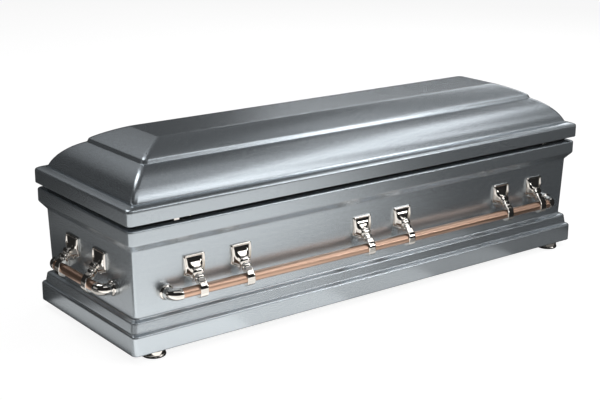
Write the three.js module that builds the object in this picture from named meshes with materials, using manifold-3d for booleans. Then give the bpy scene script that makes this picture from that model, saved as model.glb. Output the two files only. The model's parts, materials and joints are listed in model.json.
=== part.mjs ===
// A full-length sheet-steel casket: hollow body, stepped dome lid on a rubber gasket,
// bar handles on cast brackets along both sides and both ends, lid catches and round feet.
// Units are millimetres. X runs along the casket, Z is up, and the feet stand on Z = 0.
import * as THREE from 'three';
import { mergeVertices } from 'three/addons/utils/BufferGeometryUtils.js';
import Module from 'manifold-3d';

const wasm = await Module();
wasm.setup();

// Outline shared by lid and body. Insets are measured inwards from the lid's rim.
const rimLength = 2130;
const rimWidth = 676;
const sheet = 1.2;
const cornerRadius = 18;
const flangeWidth = 60;
const edgeRadius = 3;

// Body, heights above its own underside
const bodyHeight = 429;
const plinthHeight = 62;
const plinthSideInset = -3;
const plinthEndInset = 6;
const plinthRound = 9;
const ledgeRise = 5;
const ledgeInset = 14;
const stepHeight = 26;
const stepInset = 18;
const stepRound = 8;
const shelfRise = 10;
const wallFootInset = 35;
const wallTopInset = 28;
const chamferHeight = 29;
const bandInset = 5;
const bandHeight = 49;
const bandRound = 4;

// Lid
const rimHeight = 47;
const shoulderRise = 13;
const shoulderSide = 31;
const shoulderEnd = 37;
const lowerTierRise = 96;
const lowerTierSide = 106;
const lowerTierEnd = 103;
const bevelRise = 13;
const bevelSide = 4;
const bevelEnd = 6;
const upperTierRise = 46;
const upperTierSide = 97;
const upperTierEnd = 115;

// Gasket between body and lid
const gasketHeight = 18;
const gasketInset = 32;
const gasketWidth = 14;
const gasketBulge = 2;

// Handles
const plateWidth = 84;
const plateTop = 52;
const plateSideFoot = 18;
const plateTip = 37;
const plateCentre = 251;
const plateLip = 5;
const plateRim = 4;
const barRadius = 17.5;
const barStandOff = 51;
const barDrop = 58.5;
const collarRadius = 22.5;
const collarWidth = 32;
const collarSag = 6.5;
const neckHalf = 14;
const beadHalf = 18;
const tipRadius = 20.5;
const tipBend = 28;
const tipSleeve = 6;
const tipSocket = 12;
const tipBaseRadius = 28;
const tipBaseHeight = 14;
const sideTipInset = 127.5;
const endTipInset = 140.5;
const sideFirstFromTip = 133.5;
const sideLastFromTip = 95.5;
const outerPairSpan = 190;
const middlePairStart = -74;
const middlePairSpan = 196;
const endFirstFromTip = 110.5;
const endLastFromTip = 90.5;

// Feet
const footHeight = 25;
const footRadius = 42;
const footTopRadius = 39;
const footEdge = 7;
const footSideInset = 38;
const footEndInset = 103;

// Lid catches under the lid's front flange
const catchEndInset = 187;
const catchInset = 10;
const catchDepth = 12;
const catchHeight = 9;
const catchBlock = 20;
const catchTongue = 56;
const catchTongueHeight = 3;

// Clearances
const touch = 0.3;
const slide = 0.3;

// Facets of rounded pieces
const cornerSteps = 2;
const roundSides = 12;
const footSides = 16;
const bendSteps = 4;

// Heights that follow from the sizes above
const shelfZ = plinthHeight + plinthRound + ledgeRise + stepHeight + stepRound;
const wallFootZ = shelfZ + shelfRise;
const bandFootZ = bodyHeight - bandHeight;
const wallTopZ = bandFootZ - chamferHeight;
const lidBottomZ = bodyHeight + gasketHeight + 2 * touch;

const paint = { color: 0x8d969b, roughness: 0.3, metalness: 0.75 };
const nickel = { color: 0xcdc8c2, roughness: 0.12, metalness: 1 };
const copper = { color: 0xc09378, roughness: 0.3, metalness: 1 };
const rubber = { color: 0x0c0c0d, roughness: 0.8, metalness: 0 };

// A mesh with its own material
function piece(name, geometry, finish) {
  const mesh = new THREE.Mesh(geometry, new THREE.MeshStandardMaterial(finish));
  mesh.name = name;
  return mesh;
}

// A closed geometry from rings of equal point count. Flat caps close the first and last
// rings, or the last ring joins the first when the rings run round a loop.
function skin(rings, looped = false) {
  const count = rings[0].length;
  const positions = rings.flat().flatMap((p) => [p.x, p.y, p.z]);
  const index = [];
  const bands = looped ? rings.length : rings.length - 1;
  for (let i = 0; i < bands; i++) {
    const a = i * count;
    const b = ((i + 1) % rings.length) * count;
    for (let j = 0; j < count; j++) {
      const k = (j + 1) % count;
      index.push(a + j, a + k, b + k, a + j, b + k, b + j);
    }
  }
  if (!looped) {
    const last = (rings.length - 1) * count;
    for (let j = 1; j < count - 1; j++) {
      index.push(0, j + 1, j);
      index.push(last, last + j, last + j + 1);
    }
  }
  const geometry = new THREE.BufferGeometry();
  geometry.setAttribute('position', new THREE.Float32BufferAttribute(positions, 3));
  geometry.setIndex(index);
  return geometry;
}

function toSolid(geometry) {
  const bare = geometry.clone();
  bare.deleteAttribute('normal');
  bare.deleteAttribute('uv');
  const merged = mergeVertices(bare);
  return new wasm.Manifold(new wasm.Mesh({
    numProp: 3,
    vertProperties: new Float32Array(merged.attributes.position.array),
    triVerts: new Uint32Array(merged.index.array),
  }));
}

function toGeometry(solid) {
  const mesh = solid.getMesh();
  const geometry = new THREE.BufferGeometry();
  geometry.setAttribute('position', new THREE.BufferAttribute(mesh.vertProperties, 3));
  geometry.setIndex(new THREE.BufferAttribute(mesh.triVerts, 1));
  return geometry;
}

// Rounded rectangle at one height, seen from above and running anticlockwise
function planRing({ side, end, z, radius }) {
  const halfX = rimLength / 2 - end - radius;
  const halfY = rimWidth / 2 - side - radius;
  const corners = [[1, 1], [-1, 1], [-1, -1], [1, -1]];
  const ring = [];
  corners.forEach(([sx, sy], quarter) => {
    for (let i = 0; i <= cornerSteps; i++) {
      const angle = (quarter + i / cornerSteps) * Math.PI / 2;
      const x = sx * halfX + radius * Math.cos(angle);
      const y = sy * halfY + radius * Math.sin(angle);
      ring.push(new THREE.Vector3(x, y, z));
    }
  });
  return ring;
}

const level = (side, z, end = side) => ({ side, end, z });

// Points of a curve that leaves `from` and reaches `to`, shaped in the unit square
function sweep(from, to, shape, steps) {
  const curve = new THREE.CubicBezierCurve(
    new THREE.Vector2(0, 0),
    new THREE.Vector2(...shape[0]),
    new THREE.Vector2(...shape[1]),
    new THREE.Vector2(1, 1),
  );
  return curve.getPoints(steps).slice(1).map((p) => ({
    side: from.side + p.x * (to.side - from.side),
    end: from.end + p.x * (to.end - from.end),
    z: from.z + p.y * (to.z - from.z),
  }));
}

const quarterOut = [[0, 0.55], [0.45, 1]];
const quarterIn = [[0.55, 0], [1, 0.45]];

// The same outline, one sheet thickness further in
function thicken(outline) {
  return outline.map((point, i) => {
    const before = outline[Math.max(i - 1, 0)];
    const after = outline[Math.min(i + 1, outline.length - 1)];
    const into = new THREE.Vector2(point.side - before.side, point.z - before.z).normalize();
    const out = new THREE.Vector2(after.side - point.side, after.z - point.z).normalize();
    const normalIn = new THREE.Vector2(into.y, -into.x);
    const normalOut = new THREE.Vector2(out.y, -out.x);
    const mitre = normalIn.clone().add(normalOut).normalize();
    const reference = normalIn.length() > 0 ? normalIn : normalOut;
    const shift = mitre.multiplyScalar(sheet / mitre.dot(reference));
    return { side: point.side + shift.x, end: point.end + shift.x, z: point.z + shift.y };
  });
}

// Sheet shell of even thickness that follows an outline
function shell(outline, outlineFirst) {
  const outer = outline.map((p) => planRing({ ...p, radius: cornerRadius }));
  const inner = thicken(outline).map((p, i) => {
    const shrink = p.side - outline[i].side;
    return planRing({ ...p, radius: cornerRadius - shrink });
  });
  inner.reverse();
  return skin(outlineFirst ? [...outer, ...inner] : [...inner, ...outer]);
}

// Body outline, from the underside up to the inner edge of its top flange
function bodyOutline() {
  const plinth = (z, back = 0) => level(plinthSideInset + back, z, plinthEndInset + back);
  const shelf = level(stepInset + stepRound, shelfZ);
  const ledge = plinth(plinthHeight + plinthRound, plinthRound);
  const stepStart = level(ledgeInset, ledge.z + ledgeRise);
  const stepEnd = level(stepInset, stepStart.z + stepHeight);
  const bandTop = level(bandInset, bodyHeight - bandRound);
  return [
    plinth(0, edgeRadius),
    plinth(edgeRadius),
    plinth(plinthHeight),
    ...sweep(plinth(plinthHeight), ledge, quarterOut, 3),
    ...sweep(ledge, stepStart, quarterIn, 2),
    stepEnd,
    ...sweep(stepEnd, shelf, quarterOut, 3),
    ...sweep(shelf, level(wallFootInset, wallFootZ), quarterIn, 3),
    level(wallTopInset, wallTopZ),
    level(bandInset + edgeRadius, bandFootZ - edgeRadius),
    level(bandInset, bandFootZ + edgeRadius),
    bandTop,
    ...sweep(bandTop, level(bandInset + bandRound, bodyHeight), quarterOut, 2),
    level(flangeWidth, bodyHeight),
  ];
}

// Lid outline, from the inner edge of its bottom flange up to the flat top panel
function lidOutline() {
  const rimTop = level(0, lidBottomZ + rimHeight);
  const shoulder = level(shoulderSide, rimTop.z + shoulderRise, shoulderEnd);
  const bevelFoot = level(
    shoulder.side + lowerTierSide, shoulder.z + lowerTierRise, shoulder.end + lowerTierEnd);
  const bevelTop = level(
    bevelFoot.side + bevelSide, bevelFoot.z + bevelRise, bevelFoot.end + bevelEnd);
  const panel = level(
    bevelTop.side + upperTierSide, bevelTop.z + upperTierRise, bevelTop.end + upperTierEnd);
  return [
    level(flangeWidth, lidBottomZ),
    level(edgeRadius, lidBottomZ),
    level(0, lidBottomZ + edgeRadius),
    rimTop,
    ...sweep(rimTop, shoulder, [[0.02, 0.5], [0.4, 0.9]], 4),
    ...sweep(shoulder, bevelFoot, [[0.0125, 0.116], [0.27, 0.693]], 8),
    bevelTop,
    ...sweep(bevelTop, panel, [[0.12, 0.22], [0.657, 0.78]], 5),
  ];
}

// Rubber ring that fills the gap between the two flanges
function gasketRing() {
  const low = bodyHeight + touch;
  const high = low + gasketHeight;
  const middle = (low + high) / 2;
  const inner = gasketInset + gasketWidth;
  const section = [
    level(gasketInset, low),
    level(gasketInset - gasketBulge, middle),
    level(gasketInset, high),
    level(inner, high),
    level(inner, low),
  ];
  const rings = section.map((p) => planRing({ ...p, radius: cornerRadius }));
  return skin(rings, true);
}

// Ring across a bracket, from its upper to its lower point. Its upper corners are cut off by
// `round`, and its lower ones by `cut`, down to a foot of half width `foot`.
function armRing({ upper, lower, wide, round, foot, cut }) {
  const top = new THREE.Vector3(0, ...upper);
  const drop = new THREE.Vector3(0, ...lower).sub(top);
  const high = drop.length();
  drop.normalize();
  const at = (x, down) => top.clone().addScaledVector(drop, down).setX(x);
  return [
    at(wide, round), at(wide - round, 0), at(round - wide, 0), at(-wide, round),
    at(-wide, high - cut), at(-foot, high), at(foot, high), at(wide, high - cut),
  ];
}

// Handle bracket: shield plate with a point below, concave pyramid, curved neck with two beads,
// and a collar round the bar. It stands on the wall at y = 0 and reaches outwards along +Y.
function bracketGeometry() {
  const plate = (out, back) => ({
    upper: [out, plateTop - back],
    lower: [out, back - plateTip],
    wide: plateWidth / 2 - back,
    round: 3,
    foot: 4,
    cut: plateTip - plateSideFoot,
  });
  const arm = (upper, lower, wide) => ({
    upper: [barStandOff * upper[0], -barDrop * upper[1]],
    lower: [barStandOff * lower[0], -barDrop * lower[1]],
    wide,
    round: wide / 2,
    foot: wide / 2,
    cut: wide / 2,
  });
  const rings = [
    plate(touch, 0),
    plate(plateLip, 0),
    plate(plateLip + 2, plateRim),
    { ...arm([0.21, -0.56], [0.19, 0.54], 2 * neckHalf), round: 4, cut: 17 },
    { ...arm([0.37, -0.26], [0.3, 0.5], neckHalf + 2), round: 5 },
    arm([0.49, -0.15], [0.38, 0.53], neckHalf),
    arm([0.61, -0.03], [0.44, 0.58], beadHalf),
    arm([0.68, 0.14], [0.51, 0.63], neckHalf),
    arm([0.8, 0.23], [0.57, 0.68], neckHalf + 2),
    arm([0.88, 0.31], [0.61, 0.72], neckHalf),
    arm([1.22, 0.56], [0.7, 0.87], neckHalf + 1),
    arm([1.4, 0.89], [0.76, 1.08], collarWidth / 2 - 1),
  ].map(armRing);
  const stem = toSolid(skin(rings.reverse()));
  const barrel = new THREE.CylinderGeometry(collarRadius, collarRadius, collarWidth, roundSides);
  barrel.rotateZ(Math.PI / 2);
  barrel.translate(0, barStandOff, -barDrop - collarSag);
  const bore = barCylinder(barRadius + slide, 2 * collarWidth);
  return toGeometry(stem.add(toSolid(barrel)).subtract(toSolid(bore)));
}

// Cylinder along X on the bar's axis
function barCylinder(radius, length, middle = 0) {
  const cylinder = new THREE.CylinderGeometry(radius, radius, length, roundSides);
  cylinder.rotateZ(Math.PI / 2);
  cylinder.translate(middle, barStandOff, -barDrop);
  return cylinder;
}

// Distance from a bar's middle to the mouth of the sleeve at its end
const mouthOf = (reach) => reach - tipRadius - tipBend - tipSleeve;

// Elbow tip at the +X end of a bar: a sleeve that turns back to a wider base on the wall
function tipGeometry(reach) {
  const mouth = mouthOf(reach);
  const bendStart = mouth + tipSleeve;
  const centreOut = barStandOff - tipBend;
  const stations = [[mouth, barStandOff, 0, tipRadius], [bendStart, barStandOff, 0, tipRadius]];
  for (let i = 1; i <= bendSteps; i++) {
    const turn = (i / bendSteps) * Math.PI / 2;
    const x = bendStart + tipBend * Math.sin(turn);
    stations.push([x, centreOut + tipBend * Math.cos(turn), turn, tipRadius]);
  }
  stations.push([bendStart + tipBend, tipBaseHeight, Math.PI / 2, tipBaseRadius]);
  stations.push([bendStart + tipBend, touch, Math.PI / 2, tipBaseRadius]);
  const rings = stations.map(([x, out, turn, radius]) => {
    const across = new THREE.Vector3(Math.sin(turn), Math.cos(turn), 0);
    return Array.from({ length: roundSides }, (_, i) => {
      const angle = (i / roundSides) * 2 * Math.PI;
      const point = new THREE.Vector3(x, out, -barDrop + radius * Math.sin(angle));
      return point.addScaledVector(across, radius * Math.cos(angle));
    });
  });
  const socket = barCylinder(barRadius + slide, 2 * tipSocket, mouth);
  return toGeometry(toSolid(skin(rings)).subtract(toSolid(socket)));
}

// Handle of one side: a bar, its brackets and its two tips, with the wall at y = 0
function addHandle(shellGroup, { name, turn, flip, distance, places, reach, ends }) {
  const side = new THREE.Group();
  side.rotation.z = turn;
  const wall = new THREE.Group();
  const rise = (plateCentre - wallFootZ) / (wallTopZ - wallFootZ);
  const inset = wallFootInset + rise * (wallTopInset - wallFootInset);
  wall.position.set(0, distance - inset, plateCentre);
  wall.rotation.x = -Math.atan2(wallFootInset - wallTopInset, wallTopZ - wallFootZ);
  side.add(wall);
  shellGroup.add(side);

  const length = 2 * (mouthOf(reach) + tipSocket - slide);
  wall.add(piece(`handle_bar_${name}`, barCylinder(barRadius, length), copper));
  places.forEach((place, i) => {
    const bracket = piece(`handle_bracket_${name}_${i + 1}`, bracketShape, nickel);
    bracket.position.x = flip * place;
    wall.add(bracket);
  });
  const tipShape = tipGeometry(reach);
  ends.forEach((end, i) => {
    const tip = piece(`bar_tip_${name}_${end}`, tipShape, nickel);
    const localSide = flip * (i === 0 ? -1 : 1);
    if (localSide < 0) {
      tip.rotation.y = Math.PI;
      tip.position.z = -2 * barDrop;
    }
    wall.add(tip);
  });
}

// Round foot: a pressed cup, slightly wider at its rounded lower edge
function footGeometry() {
  const top = footHeight - touch;
  const cup = new THREE.LatheGeometry([
    new THREE.Vector2(0, 0),
    new THREE.Vector2(footRadius - footEdge, 0),
    new THREE.Vector2(footRadius - footEdge * 0.3, footEdge * 0.3),
    new THREE.Vector2(footRadius, footEdge),
    new THREE.Vector2(footTopRadius, top),
    new THREE.Vector2(0, top),
  ], footSides);
  return cup.rotateX(Math.PI / 2);
}

// Lid catch: a short block and a thin tongue that runs along the flange, both hanging from it
function catchGeometry() {
  const block = new THREE.BoxGeometry(catchBlock, catchDepth, catchHeight);
  block.translate(0, 0, -catchHeight / 2);
  const tongue = new THREE.BoxGeometry(catchTongue, catchDepth, catchTongueHeight);
  tongue.translate(catchTongue / 2, 0, -catchTongueHeight / 2);
  return toGeometry(toSolid(block).add(toSolid(tongue)));
}

const bracketShape = bracketGeometry();
const footShape = footGeometry();
const catchShape = catchGeometry();

const casket = new THREE.Group();
const shellGroup = new THREE.Group();
shellGroup.position.z = footHeight;
casket.add(shellGroup);

shellGroup.add(piece('casket_body', shell(bodyOutline(), true), paint));
shellGroup.add(piece('casket_lid', shell(lidOutline(), false), paint));
shellGroup.add(piece('lid_gasket', gasketRing(), rubber));

const sideTipReach = rimLength / 2 - sideTipInset;
const endTipReach = rimWidth / 2 - endTipInset;
const sideFirst = -sideTipReach + sideFirstFromTip;
const sideLast = sideTipReach - sideLastFromTip;
const sideHandle = {
  distance: rimWidth / 2,
  places: [
    sideFirst, sideFirst + outerPairSpan,
    middlePairStart, middlePairStart + middlePairSpan,
    sideLast - outerPairSpan, sideLast,
  ],
  reach: sideTipReach,
  ends: ['left', 'right'],
};
const endHandle = {
  distance: rimLength / 2,
  places: [-endTipReach + endFirstFromTip, endTipReach - endLastFromTip],
  reach: endTipReach,
  ends: ['front', 'back'],
};
addHandle(shellGroup, { name: 'front', turn: Math.PI, flip: -1, ...sideHandle });
addHandle(shellGroup, { name: 'back', turn: 0, flip: 1, ...sideHandle });
addHandle(shellGroup, { name: 'left_end', turn: Math.PI / 2, flip: 1, ...endHandle });
addHandle(shellGroup, { name: 'right_end', turn: -Math.PI / 2, flip: -1, ...endHandle });

const catchY = -(rimWidth / 2 - catchInset - catchDepth / 2);
[['left', -1], ['right', 1]].forEach(([name, sign]) => {
  const lidCatch = piece(`lid_catch_${name}`, catchShape, nickel);
  lidCatch.position.set(sign * (rimLength / 2 - catchEndInset), catchY, lidBottomZ - touch);
  shellGroup.add(lidCatch);
});

[['front_left', -1, -1], ['front_right', 1, -1], ['back_left', -1, 1], ['back_right', 1, 1]]
  .forEach(([name, sx, sy]) => {
    const foot = piece(`foot_${name}`, footShape, nickel);
    const along = rimLength / 2 - footEndInset;
    const across = rimWidth / 2 - footSideInset;
    foot.position.set(sx * along, sy * across, 0);
    casket.add(foot);
  });

export default casket;
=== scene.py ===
# %% [markdown]
# # A sheet-metal casket
# This lesson dresses a finished CAD frame of a casket. The frame says where every piece is and how
# big it is. Blender adds the soft edges, the castings and the finishes. Lengths are in metres, X
# runs along the casket, the front side faces -Y, and the feet stand on Z = 0.

# %% Load the frame
import json
import math

import bmesh
import bpy
from mathutils import Matrix, Vector


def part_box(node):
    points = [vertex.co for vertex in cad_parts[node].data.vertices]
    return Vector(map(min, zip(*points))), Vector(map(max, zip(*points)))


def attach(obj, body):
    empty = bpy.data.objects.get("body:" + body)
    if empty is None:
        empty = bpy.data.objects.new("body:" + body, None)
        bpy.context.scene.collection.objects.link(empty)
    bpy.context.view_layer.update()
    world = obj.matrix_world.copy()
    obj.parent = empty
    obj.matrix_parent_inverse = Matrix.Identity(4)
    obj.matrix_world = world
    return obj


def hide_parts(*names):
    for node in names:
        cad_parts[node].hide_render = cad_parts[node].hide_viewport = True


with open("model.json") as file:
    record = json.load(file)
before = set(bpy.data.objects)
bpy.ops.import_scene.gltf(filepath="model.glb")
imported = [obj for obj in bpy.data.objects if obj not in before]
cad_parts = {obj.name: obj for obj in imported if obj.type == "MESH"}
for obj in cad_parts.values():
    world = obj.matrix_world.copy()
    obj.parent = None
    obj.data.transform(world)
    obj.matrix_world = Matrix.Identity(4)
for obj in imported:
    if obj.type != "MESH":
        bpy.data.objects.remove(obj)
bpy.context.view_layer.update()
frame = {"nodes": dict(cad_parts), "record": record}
nodes = frame["nodes"]

# %% [markdown]
# ## The camera
# The camera comes first, because everything after it is judged through it. A long lens stands a
# few metres off the left front corner and looks down a little, so three faces show at once. It is
# placed with a position and three angles, which is easier to repeat than a tracking
# constraint.

# %% Camera
CAMERA_PLACE = Vector((-2.9265, -3.6809, 1.691))
CAMERA_YAW = -0.6509
CAMERA_PITCH = 0.2878
CAMERA_ROLL = 0.0068
LENS_MM = 75.303
SENSOR_MM = 36
FAR_CLIP = 200


def camera_axes(yaw, pitch, roll):
    """Right, up and back vectors of a camera that looks down by pitch."""
    back = Vector((
        math.sin(yaw) * math.cos(pitch),
        -math.cos(yaw) * math.cos(pitch),
        math.sin(pitch),
    ))
    level = Vector((math.cos(yaw), math.sin(yaw), 0))
    up = back.cross(level)
    right = level * math.cos(roll) + up * math.sin(roll)
    return right, back.cross(right), back


bpy.ops.object.camera_add(location=CAMERA_PLACE)
camera = bpy.context.active_object
camera.name = "studio_camera"
camera.data.lens = LENS_MM
camera.data.sensor_width = SENSOR_MM
camera.data.clip_end = FAR_CLIP
axes = camera_axes(CAMERA_YAW, CAMERA_PITCH, CAMERA_ROLL)
camera.matrix_world = Matrix.Translation(CAMERA_PLACE) @ Matrix(axes).transposed().to_4x4()
bpy.context.scene.camera = camera
azimuth, down = (round(math.degrees(angle), 1) for angle in (CAMERA_YAW, CAMERA_PITCH))
print("camera azimuth", azimuth, "looks down", down)

# %% [markdown]
# ## Helpers for modelling by operator
# Operators act on whatever is selected, and the loaded frame arrives selected. These small helpers
# clear the selection, choose faces or edges by a test on their place or normal, and put a finished
# object at the origin with its place kept in its mesh, as the frame's own pieces are.

# %% Modelling helpers
MM = 0.001
SAME_PLACE = 1e-6


def select_only(*objects):
    """Selects these objects and makes the first one active."""
    if bpy.context.object and bpy.context.object.mode != "OBJECT":
        bpy.ops.object.mode_set(mode="OBJECT")
    bpy.ops.object.select_all(action="DESELECT")
    for item in objects:
        item.select_set(True)
    bpy.context.view_layer.objects.active = objects[0]


def pick(kind, test):
    """In edit mode, selects the faces, edges or vertices that pass a test."""
    bpy.ops.mesh.select_mode(type=kind)
    bpy.ops.mesh.select_all(action="DESELECT")
    mesh = bmesh.from_edit_mesh(bpy.context.object.data)
    group = {"FACE": mesh.faces, "EDGE": mesh.edges, "VERT": mesh.verts}[kind]
    for element in group:
        if test(element):
            element.select_set(True)
    mesh.select_flush_mode()
    bmesh.update_edit_mesh(bpy.context.object.data)


def apply_place(item):
    """Moves an object's place into its mesh."""
    select_only(item)
    bpy.ops.object.transform_apply(location=True, rotation=True, scale=True)


def add_modifier(item, kind, **settings):
    """Adds a modifier with these settings and applies it."""
    select_only(item)
    bpy.ops.object.modifier_add(type=kind)
    modifier = item.modifiers[-1]
    for key, value in settings.items():
        setattr(modifier, key, value)
    bpy.ops.object.modifier_apply(modifier=modifier.name)


def smooth(item, degrees=30):
    """Smooth shading that keeps the real edges and leaves flat faces flat."""
    select_only(item)
    bpy.ops.object.shade_smooth_by_angle(angle=math.radians(degrees))
    add_modifier(item, "WEIGHTED_NORMAL", keep_sharp=True, weight=100)

# %% [markdown]
# ## The sheet outline
# Body and lid are pressed from thin steel sheet. Each is a stack of rounded rectangles: only the
# inset from the lid's rim and the height change from one to the next. So the outline is a list of
# levels, each with an inset on the long sides, an inset on the ends and a height, in millimetres.
# Curved stretches are Bezier sweeps between two levels, and hard corners are softened by a small
# curve, because pressed and filled sheet metal never has a knife edge and the soft edge is what
# catches the light.

# %% Outline helpers
RIM_HALF_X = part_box("casket_lid")[1].x
RIM_HALF_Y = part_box("casket_lid")[1].y
BASE_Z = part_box("casket_body")[0].z
ROUND_OUT = ((0, 0.55), (0.45, 1))
ROUND_IN = ((0.55, 0), (1, 0.45))


def level(side, end, height):
    """One level of an outline: side inset, end inset and height, in millimetres."""
    return Vector((side, end, height))


def sweep(start, stop, shape, steps):
    """Levels on a curve from start to stop, shaped by two handles in a unit square."""
    (a, b), (c, d) = shape
    levels = []
    for i in range(1, steps + 1):
        t = i / steps
        s = 1 - t
        across = 3 * s * s * t * a + 3 * s * t * t * c + t ** 3
        rise = 3 * s * s * t * b + 3 * s * t * t * d + t ** 3
        insets = start.lerp(stop, across)
        levels.append(level(insets.x, insets.y, start.z + rise * (stop.z - start.z)))
    return levels


def soften(before, corner, after, cut, steps=4):
    """A small curve in place of a corner that starts and ends this far from it."""
    first = corner + (before - corner).normalized() * cut
    last = corner + (after - corner).normalized() * cut
    return [
        first.lerp(corner, i / steps).lerp(corner.lerp(last, i / steps), i / steps)
        for i in range(steps + 1)
    ]


# %% [markdown]
# ## The body's mouldings
# From the floor up the body shows a plinth, two stepped mouldings, a wall that leans in towards its
# foot, a chamfer, a broad band, and a flange turned in for the gasket. Each could be a strip of its
# own, but the real side is one piece of sheet, so one list of levels describes it all.

# %% Body levels
plinth_low = level(-3, 6, 0)
plinth_top = level(-3, 6, 62)
plinth_ledge = level(6, 15, 71)
step_foot = level(14, 14, 76)
step_top = level(18, 18, 102)
shelf = level(26, 26, 110)
wall_foot = level(35, 35, 120)
wall_top = level(28, 28, 351)
chamfer_top = level(5, 5, 380)
band_top = level(5, 5, 422.5)
band_edge = level(11, 11, 429)
body_flange = level(60, 60, 429)

body_levels = [
    *soften(level(20, 29, 0), plinth_low, plinth_top, 3),
    plinth_top,
    *sweep(plinth_top, plinth_ledge, ROUND_OUT, 8),
    *sweep(plinth_ledge, step_foot, ROUND_IN, 6),
    step_top,
    *sweep(step_top, shelf, ROUND_OUT, 8),
    *sweep(shelf, wall_foot, ROUND_IN, 8),
    *soften(wall_foot, wall_top, chamfer_top, 2),
    *soften(wall_top, chamfer_top, band_top, 4),
    band_top,
    *sweep(band_top, band_edge, ROUND_OUT, 6),
    body_flange,
]
print("body levels", len(body_levels))

# %% [markdown]
# ## The lid's tiers
# The lid rises from an upright rim over a rounded shoulder to a convex dome, then over a narrow
# bevel to an upper tier and a flat top panel. The long sides step in less than the ends, so each
# level has its own inset for both. The sweeps have many levels, because the dome's reflections
# would show every facet.

# %% Lid levels
SHOULDER_SHAPE = ((0.02, 0.5), (0.4, 0.9))
DOME_SHAPE = ((0.0125, 0.116), (0.27, 0.693))
UPPER_SHAPE = ((0.12, 0.22), (0.657, 0.78))

lid_flange = level(60, 60, 447.6)
rim_low = level(0, 0, 447.6)
rim_top = level(0, 0, 494.6)
dome_foot = level(31, 37, 507.6)
bevel_foot = level(137, 140, 603.6)
bevel_top = level(141, 146, 616.6)
panel_edge = level(238, 261, 662.6)
panel_middle = level(250, 273, 662.6)
shoulder_levels = sweep(rim_top, dome_foot, SHOULDER_SHAPE, 14)
dome_levels = sweep(dome_foot, bevel_foot, DOME_SHAPE, 28)
upper_levels = sweep(bevel_top, panel_edge, UPPER_SHAPE, 18)

lid_levels = [
    lid_flange,
    *soften(lid_flange, rim_low, rim_top, 3),
    *soften(rim_low, rim_top, shoulder_levels[2], 5),
    *shoulder_levels[3:-1],
    *soften(shoulder_levels[-2], dome_foot, dome_levels[0], 1.5, 3),
    *dome_levels[:-1],
    *soften(dome_levels[-2], bevel_foot, bevel_top, 1.2, 3),
    *soften(bevel_foot, bevel_top, upper_levels[0], 1.8, 4),
    *upper_levels[:-1],
    *soften(upper_levels[-2], panel_edge, panel_middle, 2.5, 4),
]
print("lid levels", len(lid_levels))

# %% [markdown]
# ## Pressing the sheet
# A shell like this could be lofted from drawn curves. Here a plane the size of the first level is
# extruded upwards once for each level, and resized to it, which keeps every height and inset exact.
# Its four corners stay sharp on the way and are rounded afterwards.

# %% Pressed outline
def half_sizes(place):
    """Half length and half width of the outline at a level, in metres."""
    return RIM_HALF_X - place.y * MM, RIM_HALF_Y - place.x * MM


def pressed_outline(name, levels):
    """Extrudes a plane through the levels. Returns the piece in edit mode and the last height."""
    half_x, half_y = half_sizes(levels[0])
    height = BASE_Z + levels[0].z * MM
    bpy.ops.mesh.primitive_plane_add(size=2, location=(0, 0, height))
    shell = bpy.context.active_object
    shell.name = name
    shell.scale = (half_x, half_y, 1)
    apply_place(shell)
    bpy.ops.object.mode_set(mode="EDIT")
    pick("FACE", lambda face: True)
    for place in levels[1:]:
        wide, deep = half_sizes(place)
        rise = BASE_Z + place.z * MM - height
        height += rise
        bpy.ops.mesh.extrude_region_move(TRANSFORM_OT_translate={"value": (0, 0, rise)})
        bpy.ops.transform.resize(
            value=(wide / half_x, deep / half_y, 1), center_override=(0, 0, height))
        half_x, half_y = wide, deep
    return shell, height


# %% [markdown]
# ## Rounding the corners and giving the sheet its thickness
# The four chains of corner edges are bevelled in one go, which rounds all the corners alike. The
# end face that isn't wanted is deleted, which leaves the opening inside the flange. Solidify then
# gives the sheet its thickness inwards, so the shell is hollow and its outside keeps its size.

# %% Pressed shells
SHEET_MM = 1.2
CORNER_MM = 18
CORNER_SEGMENTS = 8


def is_corner_edge(edge):
    """True for an edge between two levels, and not for one that runs along a level."""
    span = edge.verts[0].co - edge.verts[1].co
    along_level = abs(span.z) < SAME_PLACE and min(abs(span.x), abs(span.y)) < SAME_PLACE
    return not along_level


def drop_flat_face(height):
    """Deletes the large face that spans the middle at this height."""
    pick("FACE", lambda face: abs(face.calc_center_median().z - height) < SAME_PLACE
         and face.calc_center_median().xy.length < SAME_PLACE)
    bpy.ops.mesh.delete(type="ONLY_FACE")


def round_corners():
    """Rounds the four chains of corner edges alike and turns the normals outwards."""
    pick("EDGE", is_corner_edge)
    bpy.ops.mesh.bevel(
        offset_type="ABSOLUTE", offset=CORNER_MM * MM, segments=CORNER_SEGMENTS,
        profile=0.5, affect="EDGES", clamp_overlap=False)
    bpy.ops.mesh.select_all(action="SELECT")
    bpy.ops.mesh.normals_make_consistent(inside=False)
    bpy.ops.object.mode_set(mode="OBJECT")


def pressed_shell(name, levels, keep_last_face):
    """A hollow shell of sheet: the outline with rounded corners and a thickness inwards."""
    shell, height = pressed_outline(name, levels)
    drop_flat_face(BASE_Z + levels[0].z * MM if keep_last_face else height)
    round_corners()
    add_modifier(shell, "SOLIDIFY", thickness=SHEET_MM * MM, offset=-1, use_even_offset=True)
    smooth(shell)
    print(name, "faces", len(shell.data.polygons))
    return shell


body_shell = pressed_shell("body_shell", body_levels, keep_last_face=False)
lid_shell = pressed_shell("lid_shell", lid_levels, keep_last_face=True)

# %% [markdown]
# ## Places along the walls
# The handles stand on the leaning walls. One matrix for each wall turns a piece drawn against an
# upright wall at the origin into its real place: X then runs along the wall, Y points out of it
# and Z is zero at the middle of the bracket plates. The copies are matched to the frame's pieces by
# their boxes, so every copy takes the place of exactly one of them.

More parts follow.
